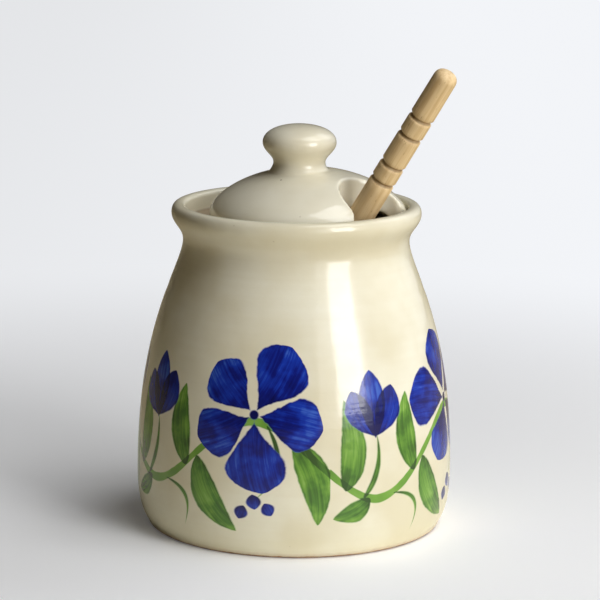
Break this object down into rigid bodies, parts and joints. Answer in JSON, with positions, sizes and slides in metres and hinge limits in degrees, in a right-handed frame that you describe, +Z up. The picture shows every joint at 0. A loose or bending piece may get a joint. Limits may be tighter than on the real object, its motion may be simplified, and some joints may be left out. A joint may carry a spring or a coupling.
{
  "type": "honey pot",
  "caption": "Bellied glazed stoneware honey pot with a drop-in domed lid, a round knob, a notch in the lid and a turned wooden honey dipper leaning out of it.",
  "frame": {"origin": "centre of the foot ring, on the table", "axes": "+Z up along the pot's axis, -Y towards the picture's viewer, +X to that viewer's right"},
  "size_m": [0.096, 0.096, 0.1431],
  "materials": {
    "pot_glaze": "glossy cream glaze with brushed blue and green flowers under it",
    "lid_glaze": "glossy cream glaze",
    "dipper_wood": "fine sanded pale beech, no varnish"
  },
  "bodies": {
    "pot": {"pot": "pot_glaze"},
    "lid": {"lid": "lid_glaze"},
    "dipper": {"dipper": "dipper_wood"}
  },
  "joints": [
    {"name": "lid_lift", "type": "slide", "parent": "pot", "child": "lid", "axis": [0, 0, 1], "range_m": [0, 0.07]},
    {"name": "dipper_draw", "type": "slide", "parent": "pot", "child": "dipper", "axis": [0.4509, -0.3157, 0.8348], "range_m": [0, 0.055]}
  ]
}
